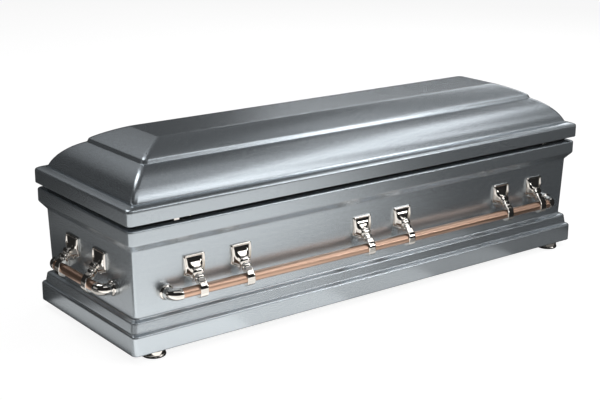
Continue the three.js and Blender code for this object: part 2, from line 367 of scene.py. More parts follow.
# %% Wall frames
PLATE_MM = 251
WALL_LEAN = math.atan2(wall_foot.x - wall_top.x, wall_top.z - wall_foot.z)
WALL_INSET_MM = wall_foot.x - (PLATE_MM - wall_foot.z) * math.tan(WALL_LEAN)


def wall_frame(turn, half):
    """The frame of the wall that faces this way, at this half size of the rim."""
    stand = Matrix.Translation((0, half - WALL_INSET_MM * MM, BASE_Z + PLATE_MM * MM))
    return Matrix.Rotation(turn, 4, "Z") @ stand @ Matrix.Rotation(-WALL_LEAN, 4, "X")


wall_frames = {
    "front": wall_frame(math.pi, RIM_HALF_Y),
    "back": wall_frame(0, RIM_HALF_Y),
    "left_end": wall_frame(math.pi / 2, RIM_HALF_X),
    "right_end": wall_frame(-math.pi / 2, RIM_HALF_X),
}


def middle(name):
    """The middle of a frame piece's box."""
    low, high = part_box(name)
    return (low + high) / 2


def copy_to(model, name, matrix):
    """A copy with its own mesh, put in its place and named after the frame's piece there."""
    select_only(model)
    bpy.ops.object.duplicate(linked=False)
    piece = bpy.context.active_object
    piece.name = "dressed_" + name
    piece.matrix_world = matrix
    apply_place(piece)
    return piece


print("wall lean", round(math.degrees(WALL_LEAN), 2), "inset", round(WALL_INSET_MM, 2))

# %% [markdown]
# ## The bracket
# Each bracket is one casting: a shield plate with a raised edge, a hollow-sided pyramid that draws
# in to a neck, two beads round the neck, and a strap that widens over the bar and ends in a collar.
# It starts as a four-face plane. The faces are extruded through a list of stations, each with an
# upper point, a lower point and a half width, and the cage that they leave is rounded later. That
# is easier to correct than a sculpted shape, because each station can be set by itself.

# %% Stations of the casting
PLATE_HALF_MM = 42
PLATE_TOP_MM = 52
PLATE_SIDE_FOOT_MM = -18
PLATE_TIP_MM = -37
KEEL = (PLATE_TOP_MM - PLATE_TIP_MM) / (PLATE_TOP_MM - PLATE_SIDE_FOOT_MM)
TOUCH_MM = 0.3

# Out and up of the upper point, out and up of the lower point, half width
plate_stations = [
    ((5.0, 52.0), (5.0, -37.0), 42.0),
    ((7.6, 49.6), (7.6, -34.8), 39.8),
    ((7.6, 47.0), (7.6, -32.4), 37.4),
    ((5.2, 45.2), (5.2, -30.8), 35.4),
    ((6.4, 42.0), (6.2, -30.0), 32.6),
]
pyramid_stations = [
    ((7.4, 36.0), (9.0, -30.0), 28.6),
    ((9.2, 29.6), (12.4, -29.8), 24.6),
    ((14.2, 20.0), (16.0, -29.8), 19.0),
    ((19.0, 11.6), (18.2, -30.4), 15.4),
    ((22.4, 8.8), (19.4, -31.2), 14.4),
]
neck_stations = [
    ((27.6, 11.4), (20.6, -31.6), 18.0),
    ((32.8, 6.6), (22.6, -33.8), 21.8),
    ((36.6, -1.4), (25.0, -35.6), 21.6),
    ((35.8, -8.2), (26.6, -37.2), 15.4),
    ((39.4, -10.2), (28.2, -39.4), 17.2),
    ((43.6, -12.4), (29.6, -40.6), 19.6),
    ((45.4, -17.0), (31.0, -42.0), 18.2),
    ((45.8, -20.2), (32.4, -43.6), 15.2),
]
strap_stations = [
    ((50.6, -22.2), (33.5, -46.5), 15.6),
    ((61.0, -29.4), (35.7, -50.9), 16.0),
    ((69.4, -40.5), (37.4, -57.0), 16.25),
    ((73.2, -53.0), (40.0, -64.0), 16.0),
    ((73.4, -66.0), (46.0, -70.0), 15.8),
    ((68.6, -75.6), (52.0, -75.6), 15.0),
]


# %% [markdown]
# ## Drawing the casting out
# At each station the faces are pushed to its middle, turned upright, resized, and leaned to its
# own slope, because a resize only fits the casting while the faces stand square. The vertices in
# the middle of the pyramid's sides are drawn out at the end, so that the upper part of each hollow
# side looks up and its lower part down.

# %% Cage of the casting
HOLLOW_PUSH_MM = 4.6
HOLLOW_BEYOND_MM = 14
HOLLOW_DEPTHS_MM = (7.5, 19.5)


def follow(stations, centre, tilt, height, wide):
    """Extrudes the selected faces through the stations and returns where it ended."""
    for upper, lower, half in stations:
        upper = Vector((0, *upper)) * MM
        lower = Vector((0, *lower)) * MM
        span = upper - lower
        tall = span.length / KEEL
        goal = upper - span.normalized() * tall / 2
        lean = math.atan2(span.y, span.z)
        bpy.ops.mesh.extrude_region_move(TRANSFORM_OT_translate={"value": goal - centre})
        bpy.ops.transform.rotate(value=-tilt, orient_axis="X", center_override=goal)
        bpy.ops.transform.resize(value=(half * MM / wide, 1, tall / height), center_override=goal)
        bpy.ops.transform.rotate(value=lean, orient_axis="X", center_override=goal)
        centre, tilt, height, wide = goal, lean, tall, half * MM
    return centre, tilt, height, wide


bpy.ops.mesh.primitive_grid_add(x_subdivisions=2, y_subdivisions=2, size=2)
bracket = bpy.context.active_object
bracket.name = "bracket_model"
plate_height = (PLATE_TOP_MM - PLATE_SIDE_FOOT_MM) * MM
plate_centre = Vector((0, TOUCH_MM * MM, (PLATE_TOP_MM + PLATE_SIDE_FOOT_MM) / 2 * MM))
bracket.rotation_euler = (-math.pi / 2, 0, 0)
bracket.scale = (PLATE_HALF_MM * MM, plate_height / 2, 1)
bracket.location = plate_centre
apply_place(bracket)
bpy.ops.object.mode_set(mode="EDIT")
pick("VERT", lambda vert: abs(vert.co.x) < SAME_PLACE and vert.co.z < 0)
bpy.ops.transform.translate(value=(0, 0, (PLATE_TIP_MM - PLATE_SIDE_FOOT_MM) * MM))
pick("FACE", lambda face: True)
bpy.ops.mesh.duplicate()
bpy.ops.mesh.flip_normals()
bpy.ops.mesh.select_all(action="INVERT")
reached = follow(plate_stations, plate_centre, 0, plate_height, PLATE_HALF_MM * MM)
reached = follow(pyramid_stations, *reached)
reached = follow(neck_stations, *reached)
follow(strap_stations, *reached)
bpy.ops.mesh.select_all(action="SELECT")
bpy.ops.mesh.remove_doubles(threshold=1e-5)
bpy.ops.mesh.normals_make_consistent(inside=False)


def is_hollow_side(vert):
    """True for a vertex halfway up the side of the pyramid."""
    beside_middle = any(abs(edge.other_vert(vert).co.x) < SAME_PLACE for edge in vert.link_edges)
    near, far = (depth * MM for depth in HOLLOW_DEPTHS_MM)
    return not beside_middle and abs(vert.co.x) > HOLLOW_BEYOND_MM * MM and near < vert.co.y < far


pick("VERT", is_hollow_side)
bpy.ops.transform.translate(value=(0, HOLLOW_PUSH_MM * MM, 0))
print("cage faces", len(bmesh.from_edit_mesh(bracket.data).faces))

# %% [markdown]
# ## Rounding the cage
# A polisher rounds a casting but keeps its ridges. Subdivision rounds the cage, and creases on the
# plate's edges, the pyramid's ridges and the strap's edges hold them back by different amounts.
# Bevels could do it too, but they would need cleaning up where the ridges meet.

# %% Creases and rounding
PLATE_CREASE = 0.52
PYRAMID_CREASE = 0.48
STRAP_CREASE = 0.4
PLATE_DEPTH_MM = 5.1
PYRAMID_DEPTH_MM = 21
STRAP_DEPTH_MM = 50
RIDGE_BEYOND_MM = 5
RIDGE_DRAFT_MM = 0.1
ROUNDING_LEVELS = 3


def depth_of(edge):
    """How far the edge's outer end stands from the wall."""
    return max(vert.co.y for vert in edge.verts)


def is_ridge(edge):
    """True for an edge that runs from station to station along a corner of the casting."""
    first, second = (abs(vert.co.x) for vert in edge.verts)
    beyond_middle = min(first, second) > RIDGE_BEYOND_MM * MM
    return beyond_middle and abs(first - second) > RIDGE_DRAFT_MM * MM


def is_plate_edge(edge):
    """True for an edge of the plate at the wall, down to its point."""
    on_middle = all(abs(vert.co.x) < SAME_PLACE for vert in edge.verts)
    at_tip = all(vert.co.z < PLATE_SIDE_FOOT_MM * MM for vert in edge.verts)
    return depth_of(edge) < PLATE_DEPTH_MM * MM and (at_tip or not on_middle)


pick("EDGE", is_plate_edge)
bpy.ops.transform.edge_crease(value=PLATE_CREASE)
pick("EDGE", lambda edge: is_ridge(edge)
     and PLATE_DEPTH_MM * MM < depth_of(edge) < PYRAMID_DEPTH_MM * MM)
bpy.ops.transform.edge_crease(value=PYRAMID_CREASE)
pick("EDGE", lambda edge: is_ridge(edge) and depth_of(edge) > STRAP_DEPTH_MM * MM)
bpy.ops.transform.edge_crease(value=STRAP_CREASE)
bpy.ops.object.mode_set(mode="OBJECT")
add_modifier(bracket, "SUBSURF", levels=ROUNDING_LEVELS)
print("rounded faces", len(bracket.data.polygons))

# %% [markdown]
# ## The collar round the bar
# The bar runs through the end of the strap. A short round bar is joined on as the collar, hanging
# a little lower than the bar, and a longer one is cut out as the bore, a hair wider than the bar.
# Booleans suit this, because both forms are truly round, as if turned and drilled.

# %% Collar and bore
BAR_RADIUS_MM = 17.5
BAR_OUT_MM = 51
BAR_DROP_MM = 58.5
BORE_RADIUS_MM = BAR_RADIUS_MM + TOUCH_MM
COLLAR_RADIUS_MM = 22.5
COLLAR_WIDTH_MM = 32
COLLAR_SAG_MM = 6.5
COLLAR_EDGE_MM = 2.2
KEEP_SHARP_DEGREES = 40
BORE_PLACE = Vector((0, BAR_OUT_MM, -BAR_DROP_MM)) * MM
COLLAR_PLACE = Vector((0, BAR_OUT_MM, -BAR_DROP_MM - COLLAR_SAG_MM)) * MM


def round_bar(name, place, radius, length, chamfer=0.0):
    """A round bar along X with softened rims, in metres."""
    bpy.ops.mesh.primitive_cylinder_add(
        vertices=72, radius=radius, depth=length, rotation=(0, math.pi / 2, 0), location=place)
    bar = bpy.context.active_object
    bar.name = name
    apply_place(bar)
    if chamfer:
        bpy.ops.object.mode_set(mode="EDIT")
        pick("EDGE", lambda edge: abs(edge.verts[0].co.x - edge.verts[1].co.x) < SAME_PLACE)
        bpy.ops.mesh.bevel(offset=chamfer, segments=4, profile=0.5)
        bpy.ops.object.mode_set(mode="OBJECT")
    return bar


collar = round_bar("collar", COLLAR_PLACE, COLLAR_RADIUS_MM * MM, COLLAR_WIDTH_MM * MM,
                   COLLAR_EDGE_MM * MM)
bore = round_bar("bore", BORE_PLACE, BORE_RADIUS_MM * MM, 2 * COLLAR_WIDTH_MM * MM)
add_modifier(bracket, "BOOLEAN", operation="UNION", solver="EXACT", object=collar)
add_modifier(bracket, "BOOLEAN", operation="DIFFERENCE", solver="EXACT", object=bore)
select_only(collar, bore)
bpy.ops.object.delete()
smooth(bracket, KEEP_SHARP_DEGREES)
print("bracket", [round(v / MM, 1) for v in bracket.dimensions])
print("bracket faces", len(bracket.data.polygons))

# %% [markdown]
# ## Sixteen brackets from one
# Six brackets stand along each side, in pairs, and two on each end. They came from one mould, so
# the model is copied and put in place by the wall's frame. Each copy has its own mesh, so that its
# place can be moved into it.

# %% Sixteen brackets
SIDE_PLACES_MM = (-804, -614, -74, 122, 652, 842)
END_PLACES_MM = (-87, 107)


def node_near(prefix, matrix):
    """The frame's piece of this kind that stands nearest to a place."""
    spot = matrix.translation
    names = [name for name in nodes if name.startswith(prefix)]
    return min(names, key=lambda name: (middle(name) - spot).length)


brackets = {}
for wall, frame_of_wall in wall_frames.items():
    places = END_PLACES_MM if "end" in wall else SIDE_PLACES_MM
    flip = -1 if wall == "front" else 1
    for place in places:
        matrix = frame_of_wall @ Matrix.Translation((flip * place * MM, 0, 0))
        name = node_near("handle_bracket_", matrix)
        brackets[name] = copy_to(bracket, name, matrix)
select_only(bracket)
bpy.ops.object.delete()
print("brackets", len(brackets))

# %% [markdown]
# ## The elbow tip
# At each end of a bar a polished elbow takes the bar in its mouth and turns back into the wall,
# where it spreads into a domed base. It could be a curve with a bevel, but its thickness changes,
# so a round loop is extruded row by row for the mouth, spun a quarter turn for the bend, and
# extruded again for the base.

# %% Elbow tip
# A row is a place along the elbow's axis and its radius there
ROUND_STEPS = 48
SOCKET_MM = -22
TIP_RADIUS_MM = 20.5
BEND_MM = 28
BEND_STEPS = 16

mouth_rows = [
    (-33.0, 17.8), (-33.7, 18.1), (-34.0, 18.7), (-34.0, 19.3), (-33.7, 20.0), (-33.0, 20.5),
    (-28.0, 20.5),
]
base_rows = [
    (21.0, 20.6), (19.0, 21.4), (17.8, 22.9), (16.6, 24.8), (15.0, 26.4), (12.6, 27.5),
    (9.5, 28.0), (2.5, 28.0), (1.0, 27.5), (0.3, 26.6),
]


def grow_rows(rows, axis, base, at, radius):
    """Extrudes the selected round loop through rows of a place along an axis and a radius."""
    axis = Vector(axis)
    for far, wide in rows:
        centre = (Vector(base) + axis * far) * MM
        factors = [1 if abs(part) > 0.5 else wide / radius for part in axis]
        bpy.ops.mesh.extrude_edges_move(TRANSFORM_OT_translate={"value": axis * (far - at) * MM})
        bpy.ops.transform.resize(value=factors, center_override=centre)
        at, radius = far, wide


def start_loop(name, place, radius, rotation):
    """A filled circle whose edge loop is selected in edit mode."""
    bpy.ops.mesh.primitive_circle_add(
        vertices=ROUND_STEPS, radius=radius * MM, fill_type="NGON",
        location=Vector(place) * MM, rotation=rotation)
    piece = bpy.context.active_object
    piece.name = name
    apply_place(piece)
    bpy.ops.object.mode_set(mode="EDIT")
    pick("EDGE", lambda edge: True)
    return piece


def close_loop(piece, degrees=30):
    """Fills the open end, turns the normals outwards and smooths the piece."""
    bpy.ops.mesh.edge_face_add()
    bpy.ops.mesh.select_all(action="SELECT")
    bpy.ops.mesh.normals_make_consistent(inside=False)
    bpy.ops.object.mode_set(mode="OBJECT")
    smooth(piece, degrees)


tip = start_loop("tip_model", (SOCKET_MM, BAR_OUT_MM, 0), BORE_RADIUS_MM, (0, math.pi / 2, 0))
grow_rows(mouth_rows, (1, 0, 0), (0, BAR_OUT_MM, 0), SOCKET_MM, BORE_RADIUS_MM)
bpy.ops.mesh.spin(
    steps=BEND_STEPS, angle=math.pi / 2, axis=(0, 0, 1),
    center=(-BEND_MM * MM, (BAR_OUT_MM - BEND_MM) * MM, 0))
grow_rows(base_rows, (0, 1, 0), (0, 0, 0), BAR_OUT_MM - BEND_MM, TIP_RADIUS_MM)
close_loop(tip)
print("tip", [round(v / MM, 1) for v in tip.dimensions])

# %% [markdown]
# ## Eight tips from one
# Every bar has a tip at each end. The second one is the first turned half round about the line that
# points out of the wall, which keeps its base on the wall. A mirrored copy would need its faces
# turned again, so turning is the safer way.

# %% Eight tips
LEG_FROM_MIDDLE_MM = {"side": 917, "end": 177}
tips = {}
for wall, frame_of_wall in wall_frames.items():
    leg = LEG_FROM_MIDDLE_MM["end" if "end" in wall else "side"] * MM
    for side in (1, -1):
        turn = Matrix.Rotation(0 if side > 0 else math.pi, 4, "Y")
        place = Matrix.Translation((side * leg, 0, -BAR_DROP_MM * MM))
        matrix = frame_of_wall @ place @ turn
        name = node_near("bar_tip_", matrix)
        tips[name] = copy_to(tip, name, matrix)
select_only(tip)
bpy.ops.object.delete()
print("tips", len(tips))

# %% [markdown]
# ## Four bars
# The bars are plain round tube, and only their ends are broken a little. A cylinder would do, but
# its ends would stay sharp, so the same rows as for the elbows give each end a small round.

# %% Four bars
BAR_END_MM = 16.5
BAR_SHOULDER_MM = 17.3
END_TO_SHOULDER_MM = 1.0
END_TO_FULL_MM = 1.6

bars = {}
for wall in wall_frames:
    name = "handle_bar_" + wall
    low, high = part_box(name)
    half = max(high.x - low.x, high.y - low.y) / 2 / MM
    bar_rows = [
        (END_TO_SHOULDER_MM - half, BAR_SHOULDER_MM),
        (END_TO_FULL_MM - half, BAR_RADIUS_MM),
        (half - END_TO_FULL_MM, BAR_RADIUS_MM),
        (half - END_TO_SHOULDER_MM, BAR_SHOULDER_MM),
        (half, BAR_END_MM),
    ]
    bar = start_loop("bar", (-half, 0, 0), BAR_END_MM, (0, math.pi / 2, 0))
    grow_rows(bar_rows, (1, 0, 0), (0, 0, 0), -half, BAR_END_MM)
    close_loop(bar)
    bar.name = "dressed_" + name
    bar.rotation_euler = (0, 0, math.pi / 2 if "end" in wall else 0)
    bar.location = middle(name)
    apply_place(bar)
    bars[name] = bar
print("bars", len(bars))

# %% [markdown]
# ## Feet
# The feet are small pressed cups with a rolled lower edge, one under each corner. They are turned
# forms, so a round loop is extruded down through rows of a height and a radius, as for the elbows.
# The last rows go up inside the rim, which leaves the shallow hollow that such a foot stands on.

# %% Feet
FOOT_TOP_MM = 24.7
FOOT_TOP_RADIUS_MM = 37.0
FOOT_SHARP_DEGREES = 35

foot_rows = [
    (24.4, 38.2), (23.6, 38.9), (12.0, 39.8), (9.2, 40.2), (8.2, 41.0), (7.2, 41.8),
    (5.6, 42.0), (3.4, 42.0), (1.8, 41.3), (0.7, 39.8), (0.0, 37.4), (0.0, 34.5),
    (0.9, 32.6), (2.6, 31.8),
]
foot = start_loop("foot_model", (0, 0, FOOT_TOP_MM), FOOT_TOP_RADIUS_MM, (0, 0, 0))
grow_rows(foot_rows, (0, 0, 1), (0, 0, 0), FOOT_TOP_MM, FOOT_TOP_RADIUS_MM)
close_loop(foot, FOOT_SHARP_DEGREES)
feet = {}
for name in nodes:
    if name.startswith("foot_"):
        spot = middle(name)
        feet[name] = copy_to(foot, name, Matrix.Translation((spot.x, spot.y, 0)))
select_only(foot)
bpy.ops.object.delete()
print("feet", len(feet))

# %% [markdown]
# ## Gasket
# A black rubber bulb runs round between the two flanges and shows as the dark line under the lid.
# A curve could carry it, but it has to follow the same corners as the sheet, so it is made of
# levels too. Its last level is its first again, and the seam there is merged.

# %% Gasket
DRAWN_RISE_MM = 18.0


def pressed_loop(name, levels):
    """A solid bead that runs round on the levels, whose last level is its first again."""
    loop, height = pressed_outline(name, levels)
    drop_flat_face(height)
    bpy.ops.mesh.select_all(action="SELECT")
    bpy.ops.mesh.remove_doubles(threshold=SAME_PLACE)
    round_corners()
    smooth(loop, KEEP_SHARP_DEGREES)
    print(name, "faces", len(loop.data.polygons))
    return loop


gasket_low, gasket_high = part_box("lid_gasket")
gasket_outer = (RIM_HALF_Y - gasket_high.y) / MM
gasket_foot = (gasket_low.z - BASE_Z) / MM
gasket_rise = (gasket_high.z - gasket_low.z) / MM
gasket_profile = [
    (3.0, 0.0), (1.4, 1.2), (1.2, 3.2), (0.3, 6.0), (0.0, 9.0), (0.3, 12.0), (1.2, 14.8),
    (3.6, 17.2), (7.0, DRAWN_RISE_MM), (10.4, 17.2), (12.8, 14.8), (13.7, 12.0), (14.0, 9.0),
    (13.7, 6.0), (12.8, 3.2), (12.6, 1.2), (11.0, 0.0), (3.0, 0.0),
]
gasket_levels = []
for inset, rise in gasket_profile:
    place = gasket_outer + inset
    gasket_levels.append(level(place, place, gasket_foot + rise / DRAWN_RISE_MM * gasket_rise))
gasket = pressed_loop("dressed_lid_gasket", gasket_levels)

# %% [markdown]
# ## Catches
# Two small bright catches hang under the lid's front flange, in the gap above the band. Each is a
# milled block with a thin tongue that ends in a thicker nose. A cube's end face is extruded and
# resized for them, and a bevel breaks every edge, since those small glints are all that shows.

# %% Catches
CATCH_BLOCK_MM = 20
CATCH_TONGUE_MM = 3
TONGUE_DEPTH = 0.8
NOSE_RAMP_MM = 2
NOSE_FLAT_MM = 4
NOSE_GROWTH = 1.8
CATCH_EDGE_MM = 0.7
SQUARE_CORNER = math.radians(30)

catches = {}
for name in ("lid_catch_left", "lid_catch_right"):
    low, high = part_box(name)
    block = CATCH_BLOCK_MM * MM
    bpy.ops.mesh.primitive_cube_add(size=1)
    catch = bpy.context.active_object
    catch.name = "dressed_" + name
    catch.scale = (block, high.y - low.y, high.z - low.z)
    catch.location = (low.x + block / 2, (low.y + high.y) / 2, (low.z + high.z) / 2)
    apply_place(catch)
    bpy.ops.object.mode_set(mode="EDIT")
    pick("FACE", lambda face: face.normal.x > 0.9)
    thin = CATCH_TONGUE_MM * MM / (high.z - low.z)
    anchor = (low.x + block, (low.y + high.y) / 2, high.z)
    bpy.ops.mesh.extrude_region_move(TRANSFORM_OT_translate={"value": (0, 0, 0)})
    bpy.ops.transform.resize(value=(1, TONGUE_DEPTH, thin), center_override=anchor)
    tongue = high.x - low.x - block - (NOSE_RAMP_MM + NOSE_FLAT_MM) * MM
    bpy.ops.mesh.extrude_region_move(TRANSFORM_OT_translate={"value": (tongue, 0, 0)})
    bpy.ops.mesh.extrude_region_move(TRANSFORM_OT_translate={"value": (NOSE_RAMP_MM * MM, 0, 0)})
    bpy.ops.transform.resize(value=(1, 1, NOSE_GROWTH), center_override=anchor)
    bpy.ops.mesh.extrude_region_move(TRANSFORM_OT_translate={"value": (NOSE_FLAT_MM * MM, 0, 0)})
    bpy.ops.mesh.select_all(action="SELECT")
    bpy.ops.mesh.remove_doubles(threshold=SAME_PLACE)
    bpy.ops.mesh.normals_make_consistent(inside=False)
    bpy.ops.object.mode_set(mode="OBJECT")
    add_modifier(catch, "BEVEL", width=CATCH_EDGE_MM * MM, segments=3,
                 limit_method="ANGLE", angle_limit=SQUARE_CORNER)
    smooth(catch)
    catches[name] = catch
print("catches", len(catches))

# %% [markdown]
# ## Shared surface effects
# Real finishes are never quite even. Two effects turn up on every finish here, so each is built
# once as a shader node group: a slow drift of tone, and a grain that can be made fine or broad, and
# stretched along the way a surface was polished. The groups give out only numbers that vary over
# the surface, and the shader itself stays in each material.

# %% Node group helpers
def new_group(name, inputs, outputs):
    """A shader node group with number inputs and typed outputs."""
    group = bpy.data.node_groups.new(name, "ShaderNodeTree")
    for label, value in inputs.items():
        socket = group.interface.new_socket(label, in_out="INPUT", socket_type="NodeSocketFloat")
        socket.default_value = value
    for label, kind in outputs.items():
        group.interface.new_socket(label, in_out="OUTPUT", socket_type=kind)
    return group, group.nodes.new("NodeGroupInput"), group.nodes.new("NodeGroupOutput")


def node(tree, kind, **settings):
    """Adds a node and sets its properties, or its inputs where the name is an input's."""
    made = tree.nodes.new(kind)
    for key, value in settings.items():
        if hasattr(made, key):
            setattr(made, key, value)
        else:
            made.inputs[key.replace("_", " ")].default_value = value
    return made


# %% [markdown]
# ## Tone drift
# Sprayed and polished metal is a touch lighter here and darker there. A soft noise on the object's
# own coordinates is brought to a value near 1, which a colour is then multiplied by. A painted
# image would do it too, but would need unwrapping for no gain at this strength.

# %% Tone drift
tone_drift, given, result = new_group(
    "tone_drift", {"Size": 2.0, "Amount": 0.05}, {"Value": "NodeSocketFloat"})
place = node(tone_drift, "ShaderNodeTexCoord")
clouds = node(tone_drift, "ShaderNodeTexNoise", Detail=3.0, Roughness=0.55)
spread = node(tone_drift, "ShaderNodeMath", operation="MULTIPLY_ADD")
centred = node(tone_drift, "ShaderNodeMath", operation="SUBTRACT")
centred.inputs[1].default_value = 0.5
tone_drift.links.new(place.outputs["Object"], clouds.inputs["Vector"])
tone_drift.links.new(given.outputs["Size"], clouds.inputs["Scale"])
tone_drift.links.new(clouds.outputs["Fac"], centred.inputs[0])
tone_drift.links.new(centred.outputs[0], spread.inputs[0])
tone_drift.links.new(given.outputs["Amount"], spread.inputs[1])
spread.inputs[2].default_value = 1.0
tone_drift.links.new(spread.outputs[0], result.inputs["Value"])
print("tone drift nodes", len(tone_drift.nodes))

# %% [markdown]
# ## Fine grain
# Flake, polishing marks and the skin of cast metal are all small noise, and they differ only in
# size and direction. So one group multiplies the coordinates by three scales before the noise reads
# them. A low scale along a bar and a high one across it draw the noise out into a grain.

# %% Fine grain
fine_grain, given, result = new_group(
    "fine_grain", {"Across X": 400.0, "Across Y": 400.0, "Across Z": 400.0},
    {"Height": "NodeSocketFloat"})
place = node(fine_grain, "ShaderNodeTexCoord")
scales = node(fine_grain, "ShaderNodeCombineXYZ")
stretch = node(fine_grain, "ShaderNodeVectorMath", operation="MULTIPLY")
specks = node(fine_grain, "ShaderNodeTexNoise", Scale=1.0, Detail=2.0, Roughness=0.6)
for axis in "XYZ":
    fine_grain.links.new(given.outputs[f"Across {axis}"], scales.inputs[axis])
fine_grain.links.new(place.outputs["Object"], stretch.inputs[0])
fine_grain.links.new(scales.outputs[0], stretch.inputs[1])
fine_grain.links.new(stretch.outputs[0], specks.inputs["Vector"])
fine_grain.links.new(specks.outputs["Fac"], result.inputs["Height"])
print("fine grain nodes", len(fine_grain.nodes))

# %% [markdown]
# ## Helpers for finishes
# Each finish is one Principled shader. Its plain values are set on the shader's own sockets, and
# the shared effects move its colour, its roughness and a very small bump. The helpers below do
# those three things the same way for every finish.

# %% Material helpers
def new_finish(name, base, metallic, roughness, **plain):
    """A Principled material with its plain values set on the shader's own sockets."""
    material = bpy.data.materials.new(name)
    material.use_nodes = True
    shader = material.node_tree.nodes["Principled BSDF"]
    shader.inputs["Base Color"].default_value = (*base, 1)
    shader.inputs["Metallic"].default_value = metallic
    shader.inputs["Roughness"].default_value = roughness
    for key, value in plain.items():
        shader.inputs[key.replace("_", " ")].default_value = value
    return material, material.node_tree, shader


def effect(tree, group, **values):
    """Places a shared group in a material with its own values."""
    used = tree.nodes.new("ShaderNodeGroup")
    used.node_tree = group
    for key, value in values.items():
        used.inputs[key.replace("_", " ")].default_value = value
    return used


def drift_color(tree, shader, base, size, amount):
    """Lets the base colour wander slowly in tone."""
    drift = effect(tree, tone_drift, Size=size, Amount=amount)
    tint = node(tree, "ShaderNodeVectorMath", operation="SCALE")
    tint.inputs[0].default_value = base
    tree.links.new(drift.outputs["Value"], tint.inputs["Scale"])
    tree.links.new(tint.outputs[0], shader.inputs["Base Color"])


def grain_bump(tree, shader, strength, distance, **scales):
    """A fine grain felt as a bump. Returns the grain for other uses."""
    grain = effect(tree, fine_grain, **scales)
    bump = node(tree, "ShaderNodeBump", Strength=strength, Distance=distance)
    tree.links.new(grain.outputs["Height"], bump.inputs["Height"])
    tree.links.new(bump.outputs["Normal"], shader.inputs["Normal"])
    return grain


def grain_roughness(tree, shader, grain, low, high):
    """Lets a grain move the roughness between two values."""
    spread = node(tree, "ShaderNodeMapRange")
    spread.inputs["To Min"].default_value = low
    spread.inputs["To Max"].default_value = high
    tree.links.new(grain.outputs["Height"], spread.inputs["Value"])
    tree.links.new(spread.outputs[0], shader.inputs["Roughness"])


# %% [markdown]
# ## Silver lacquer
# Body and lid are sprayed a silver blue-grey: aluminium flake in a tinted base under a clear coat.
# The flake makes it act like a rough metal, so the metallic value is high but not full, and a thin
# coat adds a tighter gloss on top. Flake is far too small to model, and a faint grain stands in.

# %% Silver lacquer
LACQUER = (0.56, 0.615, 0.66)
lacquer, tree, shader = new_finish(
    "silver_lacquer", LACQUER, metallic=0.76, roughness=0.27,
    Coat_Weight=0.2, Coat_Roughness=0.12)
drift_color(tree, shader, LACQUER, size=1.6, amount=0.06)
flake = grain_bump(
    tree, shader, strength=0.008, distance=0.0002, Across_X=1400, Across_Y=1400, Across_Z=1400)
grain_roughness(tree, shader, flake, low=0.24, high=0.30)
print(lacquer.name, len(tree.nodes), "nodes")

# %% [markdown]
# ## Polished nickel
# Brackets, tips, feet and catches are bright cast metal. Nearly all of their look is what they
# mirror, so the roughness is low, and a broad, shallow grain bends the reflections slightly, as
# hand polishing does. A warm grey base keeps them apart from the bluer lacquer.

# %% Polished nickel
NICKEL = (0.80, 0.765, 0.72)
nickel, tree, shader = new_finish("polished_nickel", NICKEL, metallic=1.0, roughness=0.06)
drift_color(tree, shader, NICKEL, size=25, amount=0.05)
casting = grain_bump(
    tree, shader, strength=0.05, distance=0.0006, Across_X=60, Across_Y=60, Across_Z=60)
grain_roughness(tree, shader, casting, low=0.03, high=0.10)
print(nickel.name, len(tree.nodes), "nodes")

# %% [markdown]
# ## Rose copper
# The bars are a satin rose copper under a thin clear coat. They were polished along their length,
# so the grain is drawn out that way. Object coordinates don't turn with a bar, so the bars across
# the ends have a finish of their own with the grain the other way.

# %% Rose copper
COPPER = (0.64, 0.42, 0.31)
ALONG_GRAIN = 18
ACROSS_GRAIN = 900


def copper_finish(name, **scales):
    """Rose copper whose grain is drawn out by these scales."""
    finish, tree, shader = new_finish(
        name, COPPER, metallic=1.0, roughness=0.34, Coat_Weight=0.3, Coat_Roughness=0.08)
    drift_color(tree, shader, COPPER, size=12, amount=0.05)
    polish = grain_bump(
        tree, shader, strength=0.05, distance=0.0002, Across_Z=ACROSS_GRAIN, **scales)
    grain_roughness(tree, shader, polish, low=0.30, high=0.38)
    print(name, len(tree.nodes), "nodes")
    return finish


copper = copper_finish("rose_copper", Across_X=ALONG_GRAIN, Across_Y=ACROSS_GRAIN)
end_copper = copper_finish("rose_copper_ends", Across_X=ACROSS_GRAIN, Across_Y=ALONG_GRAIN)

# %% [markdown]
# ## Gasket rubber
# The gasket is black rubber with a dull skin. It is almost black already, so its form only shows
# by a rough, wide sheen, and the grain is stronger here than on any of the metals.

# %% Gasket rubber
RUBBER = (0.012, 0.012, 0.013)
rubber, tree, shader = new_finish("gasket_rubber", RUBBER, metallic=0.0, roughness=0.7)
drift_color(tree, shader, RUBBER, size=30, amount=0.3)
skin = grain_bump(
    tree, shader, strength=0.2, distance=0.0004, Across_X=500, Across_Y=500, Across_Z=500)
grain_roughness(tree, shader, skin, low=0.6, high=0.8)
print(rubber.name, len(tree.nodes), "nodes")

# %% [markdown]
# ## Dressing the casket
# Every piece gets one finish, picked by the material that the frame gives it. A new piece then
# rides on the casket's one body, and the frame's pieces that it stands for are hidden, so that
# nothing shows twice.

# %% Pieces and their finishes
def dress(item, finish):
    """Makes this the piece's one material."""
    item.data.materials.clear()
    item.data.materials.append(finish)


finish_of = {"nickel": nickel, "copper": copper, "rubber": rubber, "paint": lacquer}
slot_of = {part["node"]: part["material_slot"] for part in frame["record"]["subparts"]}
for name, cad_piece in nodes.items():
    dress(cad_piece, finish_of[slot_of[name]])
for end_bar in ("handle_bar_left_end", "handle_bar_right_end"):
    dress(nodes[end_bar], end_copper)


def stand_for(piece, finish, slot, *names):
    """Dresses a new piece, lets it ride and hides the frame's pieces that it stands for."""
    dress(piece, finish)
    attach(piece, "root")
    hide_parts(*names)


